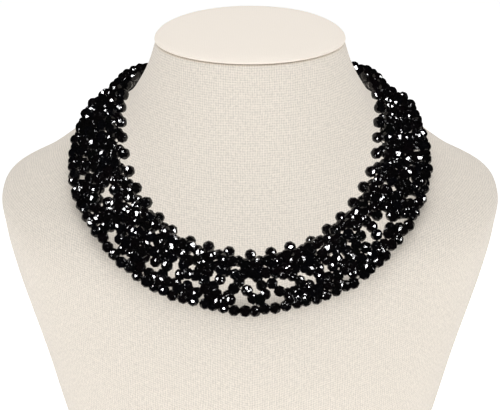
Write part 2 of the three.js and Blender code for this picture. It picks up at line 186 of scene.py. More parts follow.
# Beads of the legs and posts at the front, where the openings show: place along the inner edge from
# its front middle, way across the band as for the rows, and how far above the lowest layer
FRONT_BEADS = (
    (-52.2, 24.0, 0.2), (-49.3, 22.3, 2.6), (-47.0, 24.8, 0.2), (-46.5, 21.4, 2.6),
    (-44.5, 19.2, 0.2), (-43.6, 23.9, 0.2), (-39.9, 23.5, 0.2), (-39.9, 17.6, 2.6),
    (-38.2, 14.0, 0.2), (-37.3, 24.0, 0.2), (-35.9, 21.1, 0.2), (-35.6, 16.6, 2.6),
    (-35.3, 24.5, 2.6), (-35.3, 11.9, 2.6), (-32.7, 23.4, 0.2), (-29.9, 22.3, 0.2),
    (-29.9, 12.5, 2.6), (-29.6, 17.5, 0.2), (-28.5, 24.1, 0.2), (-27.0, 15.8, 2.6),
    (-25.6, 24.8, 0.2), (-25.3, 21.4, 0.2), (-23.9, 15.3, 0.2), (-23.0, 23.9, 2.6),
    (-22.5, 12.1, 0.2), (-20.7, 23.4, 0.2), (-19.3, 17.0, 0.2), (-18.7, 12.1, 0.2),
    (-17.6, 20.5, 2.6), (-15.6, 23.8, 0.2), (-15.0, 18.3, 0.2), (-13.0, 21.8, 0.2),
    (-12.7, 14.0, 0.2), (-11.9, 25.1, 2.6), (-11.3, 9.4, 0.2), (-10.4, 24.5, 0.2),
    (-8.4, 21.6, 0.2), (-7.6, 23.5, 2.6), (-6.7, 10.4, 2.6), (-6.4, 17.8, 2.6),
    (-4.7, 13.9, 0.2), (-3.3, 9.2, 0.2), (-1.2, 17.8, 0.2), (0.4, 8.8, 2.6),
    (1.0, 22.1, 0.2), (3.3, 11.0, 0.2), (3.9, 22.7, 2.6), (5.9, 20.2, 0.2),
    (4.7, 15.6, 0.2), (7.3, 9.8, 2.6), (9.0, 15.7, 2.6), (11.6, 10.2, 0.2),
    (11.6, 20.0, 2.6), (14.7, 21.7, 0.2), (15.0, 24.6, 0.2), (15.0, 12.2, 0.2),
    (17.3, 21.7, 2.6), (18.2, 24.9, 0.2), (18.7, 13.8, 0.2), (19.9, 20.8, 0.2),
    (21.0, 17.5, 2.6), (21.0, 10.5, 0.2), (22.2, 24.3, 0.2), (24.2, 20.7, 0.2),
    (24.5, 11.8, 2.6), (25.0, 25.2, 0.2), (26.7, 13.8, 0.2), (27.0, 23.8, 2.6),
    (29.3, 16.9, 2.6), (29.6, 20.3, 0.2), (30.2, 14.1, 0.2), (30.7, 23.5, 2.6),
    (32.2, 20.3, 0.2), (34.5, 24.9, 0.2), (34.5, 12.5, 0.2), (35.3, 21.6, 0.2),
    (35.9, 16.4, 0.2), (37.9, 14.8, 2.6), (38.8, 21.0, 0.2), (39.3, 18.4, 2.6),
    (39.9, 11.4, 2.6), (40.2, 24.1, 2.6), (42.5, 22.1, 0.2), (42.8, 18.0, 0.2),
    (43.3, 14.3, 0.2), (44.8, 24.5, 2.6), (45.6, 17.9, 0.2), (46.2, 21.5, 0.2),
    (47.3, 24.9, 0.2), (47.9, 15.4, 0.2), (49.0, 19.9, 2.6), (49.6, 23.9, 2.6),
    (52.5, 13.8, 0.2), (52.5, 25.2, 0.2), (52.8, 23.0, 0.2), (55.6, 24.6, 0.2),
    (56.5, 19.0, 2.6), (59.0, 15.2, 0.2), (59.9, 22.8, 2.6), (61.6, 26.4, 0.2),
    (63.6, 21.9, 0.2), (66.2, 13.2, 0.2), (65.6, 25.3, 0.2), (67.9, 20.5, 2.6),
)
# The lattice leaves out the stretch that these beads fill, whose left end is aslant: mm along at
# mm across, and mm along for each mm across
FRONT_FROM = (-51.5, 24.0, 1.3)
FRONT_TO = 68.5

# Openings beside the front, in mm: place along the inner edge from its front middle, way across the
# band, half size along and across. The beads that would lie in one are pushed to its rim.
OPENINGS = (
    (-132.0, 22.4, 1.4, 1.4),
    (-103.6, 18.7, 1.7, 1.5),
    (-93.2, 22.4, 1.5, 1.5),
    (-77.4, 17.8, 1.2, 1.2),
    (-59.8, 22.3, 1.9, 1.7),
    (-123.2, 9.9, 1.3, 1.3),
    (-146.6, 15.2, 1.5, 1.5),
    (89.3, 20.7, 1.6, 1.5),
    (81.3, 22.1, 1.7, 1.5),
)
# The same small opening in every column of the back, from this far off the front middle
BACK_START = 150.0
BACK_OPENING = (15.5, 2.2, 2.4)
OPENING_ROOM = 0.95  # share of a bead's radius by which an opening grows for its centre
NEAREST_DEPTH = 0.05  # a bead nearer to an opening's middle than this share counts as this far

# One bead: its sides, then its end's reach and its crown's height as shares of half its size
BEAD_SIDES = 12
END_REACH = 0.44
CROWN_HEIGHT = 0.46
BEAD_SIZES = (0.955, 1.02)  # smallest and largest bead, as shares of the set size
YAW_STRAY = 0.30  # spread of a loose bead's turn in the skin, in radians
PITCH_STRAY = 0.25  # and of its turn out of the skin
WOVEN_TURN = (45.0, 0.4)  # turn of the woven beads in degrees, and its spread in radians
# Thread: how far apart joined beads may lie, how many neighbours each is joined to, its sides
THREAD_REACH = 7.4
THREAD_LINKS = 3
THREAD_SIDES = 5
# How loosely each group of beads lies, as a share of the set stray
LOOSE = {"picots": 0.7, "outer": 0.7, "weave": 1.0, "front": 0.3, "ends": 0.5}
# Added to the seed for each group's random draws; the ends and the front's turns share theirs
DRAWS = {
    "picots": 1, "outer": 2, "weave": 3, "front": 4, "ends": 5, "front turns": 5,
    "inner glass": 11, "outer glass": 12, "band glass": 13,
}

# Camera and stage, in mm and degrees
VIEW_TARGET = (0.0, -10.0, 164.5)
VIEW_DISTANCE = 1100.0
VIEW_ELEVATION = 16.0
SENSOR_WIDTH = 36.0
FOCAL_LENGTH = 142.7
FARTHEST_VIEW = 50000.0
FLOOR_RADIUS = 9000.0
FLOOR_SIDES = 64
FLOOR_GLOW = 0.45
SKY_COLOR = (1.0, 0.995, 0.985, 1.0)
# Large soft lights: place in mm, size in mm, share of the key's power
SOFT_LIGHTS = (
    ((-1000, -900, 800), 1100, 0.175),
    ((1000, -900, 800), 1100, 0.175),
    ((0, -1350, 600), 700, 0.06),
    ((0, -50, 1500), 1100, 0.62),
    ((0, 1100, 900), 1200, 0.08),
)
# Small lights that only glossy surfaces show: place in mm, size in mm
SPARK_LIGHTS = (
    ((-300, -1200, 700), 140),
    ((380, -1150, 620), 140),
    ((-1000, -700, 300), 200),
    ((1000, -700, 340), 200),
    ((-650, -300, 1200), 200),
    ((600, -350, 1150), 200),
    ((0, -900, 1150), 140),
    ((-60, -1300, 60), 120),
    ((-760, -1000, 680), 180),
    ((800, -980, 640), 180),
    ((-1100, -200, 700), 200),
    ((1100, -200, 700), 200),
)


class LinenSettings(bpy.types.PropertyGroup):
    """Cloth of the bust and its padded cap"""

    thread_pitch: FloatProperty(
        name="Thread pitch", description="From one thread of the weave to the next",
        default=0.0013, min=0.0003, max=0.004, subtype="DISTANCE", unit="LENGTH")
    relief: FloatProperty(
        name="Relief", description="Depth of the woven relief",
        default=0.00022, min=0.0, max=0.001, subtype="DISTANCE", unit="LENGTH")
    cloth_color: FloatVectorProperty(
        name="Cloth", description="Colour of the linen",
        default=(0.803, 0.739, 0.656), min=0.0, max=1.0, subtype="COLOR")
    # The cap's linen is lighter than the cover's: painted light, standing in for the light from above
    # on the top
    cap_color_with_painted_light: FloatVectorProperty(
        name="Cap cloth", description="Colour of the cap's linen",
        default=(0.97, 0.89, 0.797), min=0.0, max=1.0, subtype="COLOR")


class BeadSettings(bpy.types.PropertyGroup):
    """Faceted beads of the collar and their thread"""

    diameter: FloatProperty(
        name="Diameter", description="Across the girdle of one bead",
        default=0.0063, min=0.002, max=0.012, subtype="DISTANCE", unit="LENGTH")
    length: FloatProperty(
        name="Length", description="Along the hole of one bead",
        default=0.0058, min=0.002, max=0.012, subtype="DISTANCE", unit="LENGTH")
    thread: FloatProperty(
        name="Thread", description="Diameter of the thread",
        default=0.0006, min=0.0002, max=0.002, subtype="DISTANCE", unit="LENGTH")
    stray: FloatProperty(
        name="Stray", description="How far a bead may lie from its even place",
        default=0.00045, min=0.0, max=0.002, subtype="DISTANCE", unit="LENGTH")
    glass_color: FloatVectorProperty(
        name="Glass", description="Colour of the jet glass",
        default=(0.0022, 0.0020, 0.0022), min=0.0, max=1.0, subtype="COLOR")
    seed: IntProperty(
        name="Seed", description="Start of the random turns of the beads", default=7, min=0)


class StudioSettings(bpy.types.PropertyGroup):
    """Floor, lights and camera"""

    sky: FloatProperty(
        name="Sky", description="Strength of the even light from all round", default=0.56, min=0.0)
    key: FloatProperty(
        name="Key", description="Power of the large soft lights together", default=7.6, min=0.0)
    sparkle: FloatProperty(
        name="Sparkle", description="Power of the small lights that only glints show",
        default=95.0, min=0.0)
    floor_color: FloatVectorProperty(
        name="Floor", description="Colour of the floor",
        default=(0.93, 0.93, 0.93), min=0.0, max=1.0, subtype="COLOR")


def section_rows():
    """Real sizes of all sections: height, half width, front, back, tilt, rise, power, lean.

    Each size is the end's size plus a share of the way to the shoulders' size.
    """
    shoulders = np.array(SHOULDERS)

    def sizes(table, end, top, fall):
        table = np.array(table)
        reach = np.array(end) + (shoulders - np.array(end)) * table[:, 1:4]
        return np.column_stack([
            top - fall * table[:, 0], reach[:, 0] / 2, reach[:, 1:], table[:, 4],
            table[:, 5] * SHOULDER_RISE, table[:, 6], table[:, 7] * SEAM_SLOPE])

    body_height = SEAM_HEIGHT - SHOULDER_DROP
    return np.vstack([
        sizes(NECK_SECTIONS, NECK_END, SEAM_HEIGHT, SHOULDER_DROP),
        sizes(BODY_SECTIONS, BASE_END, body_height, body_height)])


SECTIONS = section_rows()
LAST_SECTION = len(SECTIONS) - 1
SECTIONS_CONTINUED = np.vstack([
    2 * SECTIONS[0] - SECTIONS[1], SECTIONS, 2 * SECTIONS[-1] - SECTIONS[-2]])


def section_at(station):
    """Catmull-Rom value of the sections' columns at each station; the ends continue straight on."""
    place = np.clip(station, 0, LAST_SECTION - 1e-9)
    index = np.floor(place).astype(int)
    f = (place - index)[..., None]
    a, b, c, d = (SECTIONS_CONTINUED[index + k] for k in range(4))
    return 0.5 * (2 * b + (c - a) * f + (2 * a - 5 * b + 4 * c - d) * f ** 2
                  + (3 * b - a - 3 * c + d) * f ** 3)


def bust_point(angle, station):
    """Skin of the bust in mm, a function of the angle and the station.

    Each section is a superellipse: x is the half width times the sine to the power 2 / p, and y the
    reach times the cosine to the same power. The front tilts down with its reach, the back is
    lifted by a sine of its reach, and near the seam the outline leans up from front to back.
    """
    angle, station = np.broadcast_arrays(angle, station)
    height, half, front, back, tilt, rise, power, lean = np.moveaxis(section_at(station), -1, 0)
    side = np.sin(angle)
    ahead = np.cos(angle)
    x = half * np.sign(side) * np.abs(side) ** (2 / power)
    reach = np.abs(ahead) ** (2 / power)
    y = np.where(ahead > 0, -front * reach, back * reach)
    lift = np.where(ahead > 0, -tilt * front * reach, rise * np.sin(RIDGE_TURN * reach))
    return np.stack([x, y, height + lift + lean * (y + front)], axis=-1)


def seam_height(y):
    """Height of the tilted plane of the seam at each place from front to back."""
    return SEAM_HEIGHT + SEAM_SLOPE * (y + NECK_END[1])


def unit(vectors):
    """Vectors brought to length one."""
    return vectors / np.linalg.norm(vectors, axis=-1, keepdims=True)


def dot(a, b):
    """Dot products, one for each pair of rows, kept as a column."""
    return np.sum(a * b, axis=-1, keepdims=True)


def walked(points, axis=0):
    """Lengths from the first point of each line of points, whose steps run along one axis."""
    lengths = np.cumsum(np.linalg.norm(np.diff(points, axis=axis), axis=-1), axis=axis)
    return np.insert(lengths, 0, 0.0, axis=axis)


def bust_normal(angle, station):
    """Outward normal of the skin: the slope down it crossed with the slope round it."""
    along = bust_point(angle + PROBE, station) - bust_point(angle - PROBE, station)
    down = bust_point(angle, station + PROBE) - bust_point(angle, np.maximum(station - PROBE, 0))
    return unit(np.cross(down, along))


def settle(point, angle, station):
    """Spot of the skin nearest to each point: Gauss-Newton steps on angle and station."""
    for _ in range(SETTLE_ROUNDS):
        miss = point - bust_point(angle, station)
        around = bust_point(angle + PROBE, station) - bust_point(angle - PROBE, station)
        down = bust_point(angle, station + PROBE) - bust_point(angle, station - PROBE)
        around = around / (2 * PROBE)
        down = down / (2 * PROBE)
        aa = dot(around, around)[:, 0]
        ad = dot(around, down)[:, 0]
        dd = dot(down, down)[:, 0]
        ma = dot(miss, around)[:, 0]
        md = dot(miss, down)[:, 0]
        det = aa * dd - ad * ad
        angle = angle + (dd * ma - ad * md) / det
        station = station + (aa * md - ad * ma) / det
    return angle, station


def station_at(angle, distance):
    """Station that lies each distance down the bust, from lengths summed along a fine column."""
    stations = np.arange(0, LAST_SECTION, STATION_STEP)
    points = bust_point(angle[:, None], stations[None, :])
    lengths = walked(points, 1)
    after = np.argmax(lengths >= distance[:, None], axis=1)
    rows = np.arange(len(angle))
    stride = np.linalg.norm(points[rows, after] - points[rows, after - 1], axis=-1)
    share = (distance - lengths[rows, after - 1]) / stride
    return stations[after - 1] + STATION_STEP * share


def edge_table():
    """Columns angle, station, width and length of the inner edge, round from back to back.

    The route's knots are mirrored and joined by a centripetal Catmull-Rom curve, whose knots are
    spaced by the square root of their distance.
    """
    right = np.array(COLLAR_ROUTE, float)
    knots = np.vstack([right[:0:-1] * (-1, 1, 1), right])
    knots = np.vstack([2 * knots[0] - knots[1], knots, 2 * knots[-1] - knots[-2]])
    place = np.linspace(0, len(knots) - 3, ROUTE_SAMPLES + 1)
    index = np.minimum(place.astype(int), len(knots) - 4)
    f = (place - index)[:, None]
    a, b, c, d = (knots[index + k] for k in range(4))

    def spacing(p, q):
        return np.sqrt(np.linalg.norm(q - p, axis=1))[:, None]

    ab, bc, cd = spacing(a, b), spacing(b, c), spacing(c, d)
    leave = ((b - a) / ab - (c - a) / (ab + bc) + (c - b) / bc) * bc
    arrive = ((c - b) / bc - (d - b) / (bc + cd) + (d - c) / cd) * bc
    spots = (b + leave * f + (3 * (c - b) - 2 * leave - arrive) * f ** 2
             + (2 * (b - c) + leave + arrive) * f ** 3)
    angle = np.radians(spots[:, 0])
    station = station_at(angle, spots[:, 1])
    return angle, station, spots[:, 2] * BAND_WIDTH, walked(bust_point(angle, station))


EDGE_ANGLE, EDGE_STATION, EDGE_WIDTH, EDGE_LENGTH = edge_table()
INNER_LENGTH = EDGE_LENGTH[-1]
WOVEN_LENGTH = INNER_LENGTH - CLASP_LENGTH
PICOTS = round(WOVEN_LENGTH / PICOT_PITCH)
COLUMNS = round(WOVEN_LENGTH / COLUMN_PITCH)


def edge_at(share):
    """Angle, station and band width at shares of the inner edge; the back middle is 0 and 1."""
    target = (share - np.floor(share)) * INNER_LENGTH
    return tuple(np.interp(target, EDGE_LENGTH, column)
                 for column in (EDGE_ANGLE, EDGE_STATION, EDGE_WIDTH))


def woven_share(part):
    """Share of the inner edge for a part of the woven length, which leaves out the clasp."""
    return (CLASP_LENGTH / 2 + part * WOVEN_LENGTH) / INNER_LENGTH


def collar_spots(part, across, raised):
    """Places on the collar in mm, and their axes (along, outward, up) as the columns of a matrix.

    From the inner edge each place walks square to the edge over the skin, in equal steps that
    settle back on the skin, and is then raised along the skin's normal.
    """
    share = woven_share(part)
    angle, station, _ = edge_at(share)
    behind = bust_point(*edge_at(share - TANGENT_SHARE)[:2])
    ahead = bust_point(*edge_at(share + TANGENT_SHARE)[:2])
    normal = bust_normal(angle, station)
    heading = unit(np.cross(ahead - behind, normal))
    point = bust_point(angle, station)
    stride = (across / WALK_STEPS)[:, None]
    for _ in range(WALK_STEPS):
        angle, station = settle(point + heading * stride, angle, station)
        point = bust_point(angle, station)
        normal = bust_normal(angle, station)
        heading = unit(heading - normal * dot(heading, normal))
    axes = np.stack([np.cross(normal, heading), heading, normal], axis=-1)
    return point + normal * raised[:, None], axes


def make_object(name, points, faces, material, smooth=True, uv=None, tint=None):
    """Object whose mesh has its place in it; points are in mm, uv holds one pair per point."""
    mesh = bpy.data.meshes.new(name)
    mesh.from_pydata((np.asarray(points) * MM).tolist(), [], faces)
    if uv is not None:
        corners = np.empty(len(mesh.loops), np.int32)
        mesh.loops.foreach_get("vertex_index", corners)
        layer = mesh.uv_layers.new(name="cloth")
        layer.data.foreach_set("uv", (np.asarray(uv)[corners] * MM).astype(np.float32).ravel())
    if tint is not None:
        layer = mesh.attributes.new("tint", "FLOAT", "POINT")
        layer.data.foreach_set("value", np.asarray(tint, np.float32))
    mesh.polygons.foreach_set("use_smooth", np.full(len(mesh.polygons), smooth))
    mesh.materials.append(material)
    mesh.update()
    piece = bpy.data.objects.new(name, mesh)
    bpy.context.scene.collection.objects.link(piece)
    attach(piece, BODY)
    return piece


def grid_faces(rows, columns):
    """Four sided faces of a grid whose columns close into a ring, each ring one row of points."""
    r, k = np.meshgrid(np.arange(rows - 1), np.arange(columns), indexing="ij")
    a = r * columns + k
    b = r * columns + (k + 1) % columns
    return np.stack([a, a + columns, b + columns, b], axis=-1).reshape(-1, 4).tolist()


def cut_grid_faces(rows, columns):
    """Four sided faces of a grid whose first and last columns aren't joined."""
    r, k = np.meshgrid(np.arange(rows - 1), np.arange(columns - 1), indexing="ij")
    a = r * columns + k
    return np.stack([a, a + columns, a + columns + 1, a + 1], axis=-1).reshape(-1, 4).tolist()


def fan_faces(first, second, middle):
    """Triangles that close a ring onto its middle point, from pairs of neighbours on the ring."""
    return np.stack([second, np.full(len(first), middle), first], axis=1).tolist()


def face_outwards(piece):
    """Turn all faces outwards if the mesh's signed volume says that they point inwards."""
    mesh = piece.data
    mesh.calc_loop_triangles()
    triangles = np.empty(len(mesh.loop_triangles) * 3, np.int32)
    mesh.loop_triangles.foreach_get("vertices", triangles)
    points = np.empty(len(mesh.vertices) * 3, np.float32)
    mesh.vertices.foreach_get("co", points)
    a, b, c = points.reshape(-1, 3)[triangles].reshape(-1, 3, 3).transpose(1, 0, 2)
    if np.sum(a * np.cross(b, c)) < 0:
        mesh.flip_normals()
    mesh.update()


def start_material(name):
    """New material with an empty tree and a Principled shader; returns the three of them."""
    material = bpy.data.materials.new(name)
    material.use_nodes = True
    tree = material.node_tree
    tree.nodes.clear()
    output = tree.nodes.new("ShaderNodeOutputMaterial")
    shader = tree.nodes.new("ShaderNodeBsdfPrincipled")
    tree.links.new(shader.outputs["BSDF"], output.inputs["Surface"])
    return material, tree, shader


def calc(tree, operation, first, second=None):
    """Math node on two values, each a number or a socket; returns its output."""
    math = tree.nodes.new("ShaderNodeMath")
    math.operation = operation
    for socket, value in zip(math.inputs, (first, second)):
        if value is None:
            continue
        if isinstance(value, (int, float)):
            socket.default_value = value
        else:
            tree.links.new(value, socket)
    return math.outputs[0]


def noise(tree, vector, scale, detail=2.0, stretch=(1.0, 1.0, 1.0)):
    """Noise on a vector that a Mapping node stretches first, scale times a metre; its value."""
    mapping = tree.nodes.new("ShaderNodeMapping")
    mapping.inputs["Scale"].default_value = stretch
    tree.links.new(vector, mapping.inputs["Vector"])
    texture = tree.nodes.new("ShaderNodeTexNoise")
    texture.inputs["Scale"].default_value = scale
    texture.inputs["Detail"].default_value = detail
    tree.links.new(mapping.outputs["Vector"], texture.inputs["Vector"])
    return texture.outputs["Fac"]


def weighted(tree, terms, start):
    """Start plus, for each term, its value's distance from its middle times its weight."""
    total = start
    for value, middle, weight in terms:
        share = calc(tree, "MULTIPLY", calc(tree, "SUBTRACT", value, middle), weight)
        total = calc(tree, "ADD", share, total)
    return total


def color_between(tree, value, stops):
    """Colour at a value between stops, each a position and a colour; returns its output."""
    ramp = tree.nodes.new("ShaderNodeValToRGB")
    elements = ramp.color_ramp.elements
    for index, (position, color) in enumerate(stops):
        element = elements[index] if index < 2 else elements.new(position)
        element.position = position
        element.color = (*color, 1.0)
    tree.links.new(value, ramp.inputs["Fac"])
    return ramp.outputs["Color"]


def add_relief(tree, shader, height, strength, distance):
    """Bump on the shader from a height, with a strength and a depth in metres."""
    bump = tree.nodes.new("ShaderNodeBump")
    bump.inputs["Strength"].default_value = strength
    bump.inputs["Distance"].default_value = distance
    tree.links.new(height, bump.inputs["Height"])
    tree.links.new(bump.outputs["Normal"], shader.inputs["Normal"])


# Linen: how often a metre of cloth wanders, has thick and thin threads, has grain and has uneven dye
WANDER = 60.0
SLUBS = 350.0
GRAIN = 1100.0
DYE = 9.0
SWAY = 1.6 * np.pi  # how far the threads wander, where pi is from one thread to the next
SLUB_SHARE = 1.7  # changes of thickness from one thread to the next
LINEN_STOPS = (0.2, 0.8)  # shades of the darkest and the lightest colour
LINEN_RANGE = (-0.15, 0.12)  # how much darker and lighter than the cloth these are


def linen_material(name, color, settings, contrast=1.0):
    """Plain woven linen on the piece's own cloth coordinates.

    The relief is the cosine across the warp times the cosine across the weft, less a share of
    their squares, so threads pass over and under. Stretched noise makes thicker and thinner
    threads, fine noise the grain of the fibres, and wide soft noise the unevenness of the dye.
    """
    material, tree, shader = start_material(name)
    cloth = tree.nodes.new("ShaderNodeUVMap")
    cloth.uv_map = "cloth"
    vector = cloth.outputs["UV"]
    split = tree.nodes.new("ShaderNodeSeparateXYZ")
    tree.links.new(vector, split.inputs[0])
    pitch = settings.thread_pitch
    wander = noise(tree, vector, WANDER)
    sway = calc(tree, "MULTIPLY", calc(tree, "SUBTRACT", wander, 0.5), SWAY)

    def threads(axis):
        """Wave across the threads that lie side by side along one axis of the cloth."""
        place = calc(tree, "MULTIPLY", split.outputs[axis], np.pi / pitch)
        return calc(tree, "COSINE", calc(tree, "ADD", place, sway))

    warp, weft = threads("X"), threads("Y")
    over = calc(tree, "MULTIPLY", warp, weft)
    ribs = calc(tree, "ADD", calc(tree, "MULTIPLY", warp, warp), calc(tree, "MULTIPLY", weft, weft))
    upright = noise(tree, vector, 1.0, 1.0, (SLUB_SHARE / pitch, SLUBS, 1.0))
    level = noise(tree, vector, 1.0, 1.0, (SLUBS, SLUB_SHARE / pitch, 1.0))
    grain = noise(tree, vector, GRAIN, 1.0)
    dye = noise(tree, vector, DYE)
    height = weighted(
        tree, ((over, 0.0, 0.30), (ribs, 0.0, -0.22), (upright, 0.0, 0.55), (level, 0.0, 0.55)), 0.0)
    # The ribs' term darkens the colour where it lowers the relief: painted shade in the weave's hollows
    shade = weighted(
        tree, ((upright, 0.5, 0.7), (level, 0.5, 0.4), (grain, 0.5, 0.8), (ribs, 1.0, -0.28),
               (dye, 0.5, 0.15)), 0.5)
    stops = [(position, [min(1.0, (1 + change * contrast) * channel) for channel in color])
             for position, change in zip(LINEN_STOPS, LINEN_RANGE)]
    tree.links.new(color_between(tree, shade, stops), shader.inputs["Base Color"])
    add_relief(tree, shader, height, 0.6 * contrast, settings.relief)
    shader.inputs["Roughness"].default_value = 0.92
    shader.inputs["Specular IOR Level"].default_value = 0.25
    shader.inputs["Sheen Weight"].default_value = 0.12
    shader.inputs["Sheen Roughness"].default_value = 0.5
    return material


# Tints of the glass: position, and shares of the set colour's red, green and blue
GLASS_TINTS = (
    (0.0, (0.9, 1.0, 1.3)),
    (0.35, (1.0, 1.0, 1.0)),
    (0.7, (1.3, 1.0, 1.1)),
    (1.0, (0.9, 1.1, 1.0)),
)


def jet_glass_material(name, settings):
    """Opaque black glass: each bead's own tint between blue, violet and neutral black."""
    material, tree, shader = start_material(name)
    tint = tree.nodes.new("ShaderNodeAttribute")
    tint.attribute_name = "tint"
    base = np.array(settings.glass_color)
    stops = [(position, base * shares) for position, shares in GLASS_TINTS]
    tree.links.new(color_between(tree, tint.outputs["Fac"], stops), shader.inputs["Base Color"])
    place = tree.nodes.new("ShaderNodeTexCoord").outputs["Object"]
    smear = noise(tree, place, 900.0)
    tree.links.new(calc(tree, "MULTIPLY", smear, 0.10), shader.inputs["Roughness"])
    add_relief(tree, shader, noise(tree, place, 800.0, 1.0), 0.2, 0.00025)
    shader.inputs["IOR"].default_value = 1.4
    return material


def thread_material(name):
    """Black waxed thread with a fine twist, made by waves along the object's diagonal."""
    material, tree, shader = start_material(name)
    place = tree.nodes.new("ShaderNodeTexCoord").outputs["Object"]
    wave = tree.nodes.new("ShaderNodeTexWave")
    wave.bands_direction = "DIAGONAL"
    wave.inputs["Scale"].default_value = 900.0
    tree.links.new(place, wave.inputs["Vector"])
    twist = wave.outputs["Fac"]
    # The colour is lighter on the twist's ridges and darker in its grooves: painted light and shade
    stops = ((0.0, (0.004, 0.004, 0.005)), (1.0, (0.016, 0.016, 0.018)))
    tree.links.new(color_between(tree, twist, stops), shader.inputs["Base Color"])
    add_relief(tree, shader, twist, 1.0, 0.00008)
    shader.inputs["Roughness"].default_value = 0.6
    return material


def clasp_material(name):
    """Black plated metal, brushed along the collar, a little brighter where it is worn."""
    material, tree, shader = start_material(name)
    place = tree.nodes.new("ShaderNodeTexCoord").outputs["Object"]
    brushed = noise(tree, place, 60.0, 3.0, (1.0, 8.0, 40.0))
    worn = calc(tree, "MULTIPLY", brushed, noise(tree, place, 140.0, 4.0))
    stops = ((0.0, (0.018, 0.018, 0.020)), (1.0, (0.070, 0.068, 0.066)))
    tree.links.new(color_between(tree, worn, stops), shader.inputs["Base Color"])
    tree.links.new(weighted(tree, ((brushed, 0.0, 0.25),), 0.22), shader.inputs["Roughness"])
    add_relief(tree, shader, brushed, 0.3, 0.0001)
    shader.inputs["Metallic"].default_value = 1.0
    return material


def bead_shape(diameter, length):
    """Points and flat faces of one faceted bead round the Z axis, about its own middle, in mm.

    Five rings of points: two small end rings, two crown rings half a step round, whose reach is the
    girdle's times the cosine of half a step, and the girdle. That reach makes each face of the
    girdle a flat lozenge, with triangles beside it and flat crown faces towards the ends.
    """
    radius = diameter / 2
    half = length / 2
    step = 2 * np.pi / BEAD_SIDES
    crown = radius * np.cos(step / 2)
    end, height = END_REACH * radius, CROWN_HEIGHT * half
    rings = ((end, -half, 0.5), (crown, -height, 0.5), (radius, 0.0, 0.0), (crown, height, 0.5),
             (end, half, 0.5))
    reach, height, phase = (np.array(column)[:, None] for column in zip(*rings))
    turn = (np.arange(BEAD_SIDES)[None, :] + phase) * step
    points = np.stack([reach * np.cos(turn), reach * np.sin(turn),
                       np.broadcast_to(height, turn.shape)], axis=-1).reshape(-1, 3)
    k = np.arange(BEAD_SIDES)
    after = (k + 1) % BEAD_SIDES
    low, crown_low, girdle, crown_high, high = (ring * BEAD_SIDES for ring in range(5))
    quads = np.vstack([
        np.stack([low + k, low + after, crown_low + after, crown_low + k], axis=1),
        np.stack([crown_high + k, crown_high + after, high + after, high + k], axis=1),
        np.stack([crown_low + k, girdle + after, crown_high + k, girdle + k], axis=1)])
    triangles = np.vstack([
        np.stack([crown_low + k, crown_low + after, girdle + after], axis=1),
        np.stack([crown_high + after, crown_high + k, girdle + after], axis=1)])
    ends = np.vstack([low + k[::-1], high + k])
    return points, quads, triangles, ends


def draws(group):
    """Random numbers of one group of beads, the same in each run."""
    return np.random.default_rng(bpy.context.scene.beads.seed + DRAWS[group])


def bead_axes(axes, yaw, pitch, spin):
    """Turned axes of each bead, whose hole is the third column.

    The hole starts along the edge, is turned by yaw within the skin and by pitch out of it, and
    the bead is then spun about its hole.
    """
    along, outward, up = (axes[:, :, column] for column in range(3))
    cos_yaw, sin_yaw = np.cos(yaw)[:, None], np.sin(yaw)[:, None]
    cos_pitch, sin_pitch = np.cos(pitch)[:, None], np.sin(pitch)[:, None]
    flat = along * cos_yaw + outward * sin_yaw
    hole = flat * cos_pitch + up * sin_pitch
    side = unit(np.cross(up, flat))
    rise = np.cross(hole, side)
    cos_spin, sin_spin = np.cos(spin)[:, None], np.sin(spin)[:, None]
    across = side * cos_spin + rise * sin_spin
    return np.stack([across, rise * cos_spin - side * sin_spin, hole], axis=-1)


def make_beads(name, centres, turned, material, group):
    """One piece from one bead shape, set at each centre with that bead's axes, size and tint."""
    settings = bpy.context.scene.beads
    rng = draws(group)
    sizes = rng.uniform(*BEAD_SIZES, len(centres))
    tint = rng.uniform(0, 1, len(centres))
    shape, quads, triangles, ends = bead_shape(settings.diameter / MM, settings.length / MM)
    points = centres[:, None, :] + np.einsum("nij,pj->npi", turned, shape) * sizes[:, None, None]
    starts = np.arange(len(centres))[:, None, None] * len(shape)
    faces = []
    for part in (quads, triangles, ends):
        faces += (part[None] + starts).reshape(-1, part.shape[1]).tolist()
    return make_object(name, points.reshape(-1, 3), faces, material, smooth=False,
                       tint=np.repeat(tint, len(shape)))


def scattered(group, part, across, raised, yaw):
    """Centres and turned axes of beads on the collar, each a little off its even place and turn."""
    settings = bpy.context.scene.beads
    rng = draws(group)
    count = len(part)
    loose = LOOSE[group]
    stray = settings.stray / MM * loose
    part = part + rng.normal(0, stray, count).clip(-2 * stray, 2 * stray) / WOVEN_LENGTH
    across = across + rng.normal(0, stray, count).clip(-2 * stray, 2 * stray)
    raised = raised + rng.uniform(0, stray, count) + LIE_GAP + settings.diameter / MM / 2
    centres, axes = collar_spots(part, np.maximum(across, EDGE_START), raised)
    yaw = yaw + rng.normal(0, YAW_STRAY * loose, count)
    pitch = rng.normal(0, PITCH_STRAY * loose, count)
    return centres, bead_axes(axes, yaw, pitch, rng.uniform(0, 2 * np.pi, count))


def local_width(part):
    """Width of the band in mm at parts of the woven length."""
    return edge_at(woven_share(part))[2]


def on_band(across, part):
    """Way across the band in mm at its local width, from the way where it is FRONT_WIDTH wide."""
    return across * local_width(part) / FRONT_WIDTH


def even_row(across, count, phase, pitch=None):
    """Parts of the woven length at one phase of a count of pitches, even along the row's own length.

    across is in mm where the band is FRONT_WIDTH wide. The length is summed over short strides.
    With a pitch in mm the count is the nearest that fits the row's length.
    """
    part = np.linspace(0, 1, ROW_SAMPLES + 1)
    points, _ = collar_spots(part, on_band(across, part), np.full(len(part), LIE_GAP))
    lengths = walked(points)
    if pitch:
        count = round(lengths[-1] / pitch)
    place = (np.arange(count) + phase) / count
    place = place[(place > END_ROOM / lengths[-1]) & (place < 1 - END_ROOM / lengths[-1])]
    return np.interp(place * lengths[-1], lengths, part)


